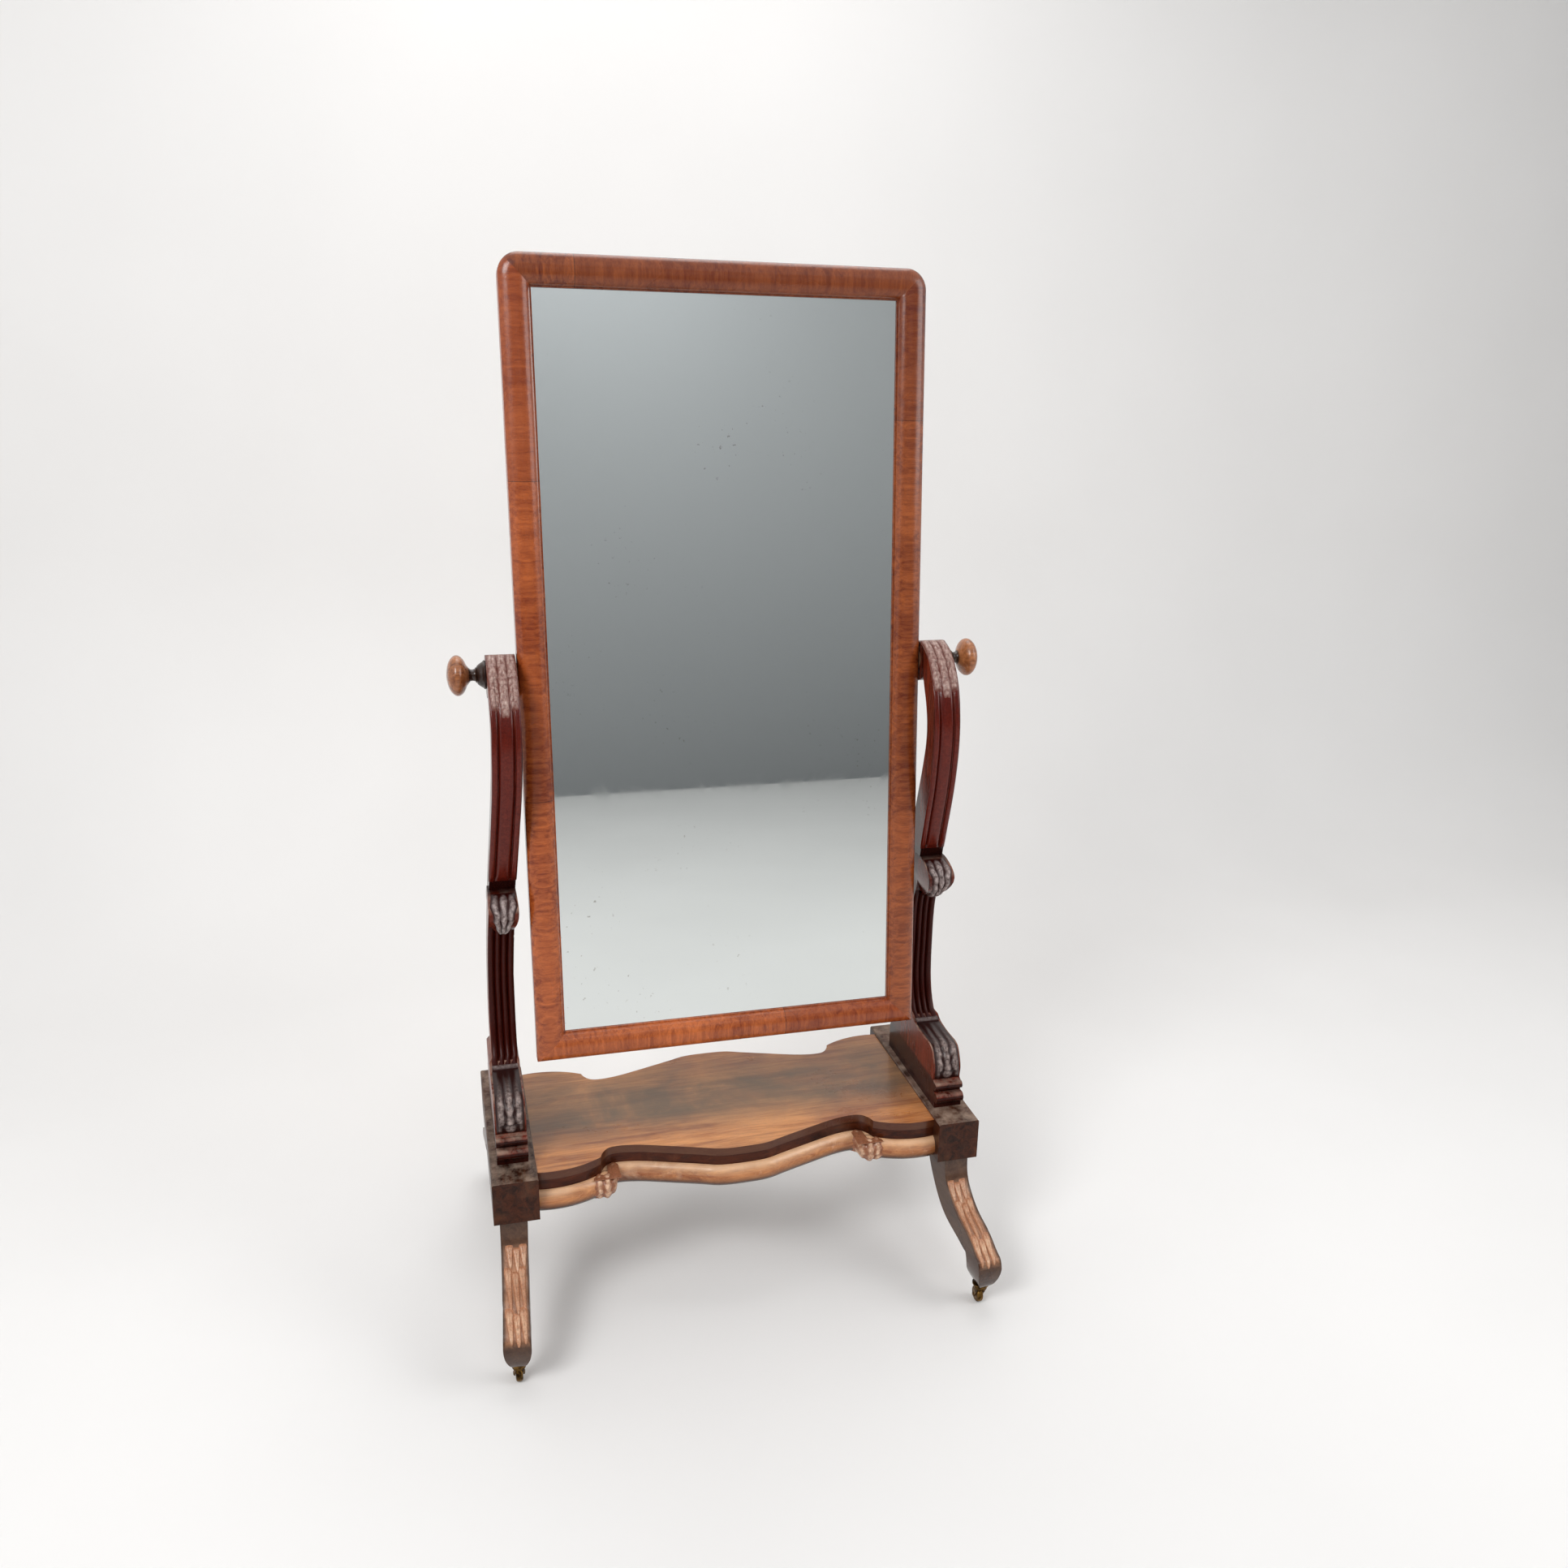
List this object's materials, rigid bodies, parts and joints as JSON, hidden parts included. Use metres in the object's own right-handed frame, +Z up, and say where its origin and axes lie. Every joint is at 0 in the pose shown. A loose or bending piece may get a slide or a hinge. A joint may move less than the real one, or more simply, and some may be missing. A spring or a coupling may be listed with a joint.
{
  "type": "cheval mirror",
  "caption": "Tilting full-length dressing mirror in a cushion-moulded frame, hung between scrolled uprights on a serpentine platform with splayed cabriole legs and castors.",
  "frame": {"origin": "on the floor under the middle of the stand, level with the bottoms of the castor wheels", "axes": "+Z up; the front faces -Y; X along the width, left hand pieces at -X as seen from the front"},
  "size_m": [0.8626, 0.6374, 1.6777],
  "materials": {
    "frame_veneer": "polished cross-banded mahogany veneer",
    "stand_mahogany": "dark French-polished mahogany",
    "platform_mahogany": "worn polished mahogany",
    "leg_mahogany": "worn polished mahogany",
    "knob_mahogany": "turned and polished mahogany",
    "softwood": "sawn and planed pine, unfinished",
    "silvered_glass": "silvered plate glass",
    "brass": "dulled brass",
    "steel": "dull iron",
    "washer_leather": "worn hide"
  },
  "bodies": {
    "stand": {"left_plinth_block": "stand_mahogany", "right_plinth_block": "stand_mahogany", "left_upright": "stand_mahogany", "right_upright": "stand_mahogany", "shelf_board": "platform_mahogany", "front_apron": "platform_mahogany", "rear_apron": "platform_mahogany", "front_moulding": "platform_mahogany", "rear_moulding": "platform_mahogany", "cross_battens": "softwood", "glue_blocks": "softwood", "castor_screws": "steel", "left_pivot_bush": "brass", "right_pivot_bush": "brass", "right_front_leg": "leg_mahogany", "left_front_leg": "leg_mahogany", "right_rear_leg": "leg_mahogany", "left_rear_leg": "leg_mahogany", "right_front_castor_plate": "brass", "left_front_castor_plate": "brass", "right_rear_castor_plate": "brass", "left_rear_castor_plate": "brass"},
    "looking_glass": {"left_stile": "frame_veneer", "right_stile": "frame_veneer", "top_rail": "frame_veneer", "bottom_rail": "frame_veneer", "mirror_glass": "silvered_glass", "glazing_wedges": "softwood", "left_back_board": "softwood", "middle_back_board": "softwood", "right_back_board": "softwood", "back_board_screws": "steel", "left_movement_plate": "brass", "right_movement_plate": "brass", "movement_plate_screws": "steel", "left_pivot_washer": "washer_leather", "right_pivot_washer": "washer_leather"},
    "left_clamping_knob": {"left_stud": "steel", "left_knob_collar": "stand_mahogany", "left_knob": "knob_mahogany"},
    "right_clamping_knob": {"right_stud": "steel", "right_knob_collar": "stand_mahogany", "right_knob": "knob_mahogany"},
    "right_front_castor": {"right_front_castor_horn": "brass", "right_front_castor_axle": "brass"},
    "right_front_wheel": {"right_front_castor_wheel": "brass"},
    "left_front_castor": {"left_front_castor_horn": "brass", "left_front_castor_axle": "brass"},
    "left_front_wheel": {"left_front_castor_wheel": "brass"},
    "right_rear_castor": {"right_rear_castor_horn": "brass", "right_rear_castor_axle": "brass"},
    "right_rear_wheel": {"right_rear_castor_wheel": "brass"},
    "left_rear_castor": {"left_rear_castor_horn": "brass", "left_rear_castor_axle": "brass"},
    "left_rear_wheel": {"left_rear_castor_wheel": "brass"}
  },
  "joints": [
    {"name": "mirror_tilt", "type": "hinge", "parent": "stand", "child": "looking_glass", "pos_m": [0, 0, 1.075], "axis": [1, 0, 0], "continuous": true},
    {"name": "left_knob_turn", "type": "hinge", "parent": "looking_glass", "child": "left_clamping_knob", "pos_m": [-0.4, 0, 1.075], "axis": [-1, 0, 0], "range_deg": [0, 360]},
    {"name": "right_knob_turn", "type": "hinge", "parent": "looking_glass", "child": "right_clamping_knob", "pos_m": [0.4, 0, 1.075], "axis": [1, 0, 0], "range_deg": [0, 360]},
    {"name": "right_front_castor_swivel", "type": "hinge", "parent": "stand", "child": "right_front_castor", "pos_m": [0.39066, -0.2883, 0.0375], "axis": [0, 0, 1], "continuous": true},
    {"name": "right_front_wheel_spin", "type": "hinge", "parent": "right_front_castor", "child": "right_front_wheel", "pos_m": [0.39066, -0.2793, 0.014], "axis": [1, 0, 0], "continuous": true},
    {"name": "left_front_castor_swivel", "type": "hinge", "parent": "stand", "child": "left_front_castor", "pos_m": [-0.39066, -0.2883, 0.0375], "axis": [0, 0, 1], "continuous": true},
    {"name": "left_front_wheel_spin", "type": "hinge", "parent": "left_front_castor", "child": "left_front_wheel", "pos_m": [-0.39066, -0.2793, 0.014], "axis": [1, 0, 0], "continuous": true},
    {"name": "right_rear_castor_swivel", "type": "hinge", "parent": "stand", "child": "right_rear_castor", "pos_m": [0.39066, 0.2883, 0.0375], "axis": [0, 0, 1], "continuous": true},
    {"name": "right_rear_wheel_spin", "type": "hinge", "parent": "right_rear_castor", "child": "right_rear_wheel", "pos_m": [0.39066, 0.2793, 0.014], "axis": [1, 0, 0], "continuous": true},
    {"name": "left_rear_castor_swivel", "type": "hinge", "parent": "stand", "child": "left_rear_castor", "pos_m": [-0.39066, 0.2883, 0.0375], "axis": [0, 0, 1], "continuous": true},
    {"name": "left_rear_wheel_spin", "type": "hinge", "parent": "left_rear_castor", "child": "left_rear_wheel", "pos_m": [-0.39066, 0.2793, 0.014], "axis": [1, 0, 0], "continuous": true}
  ]
}
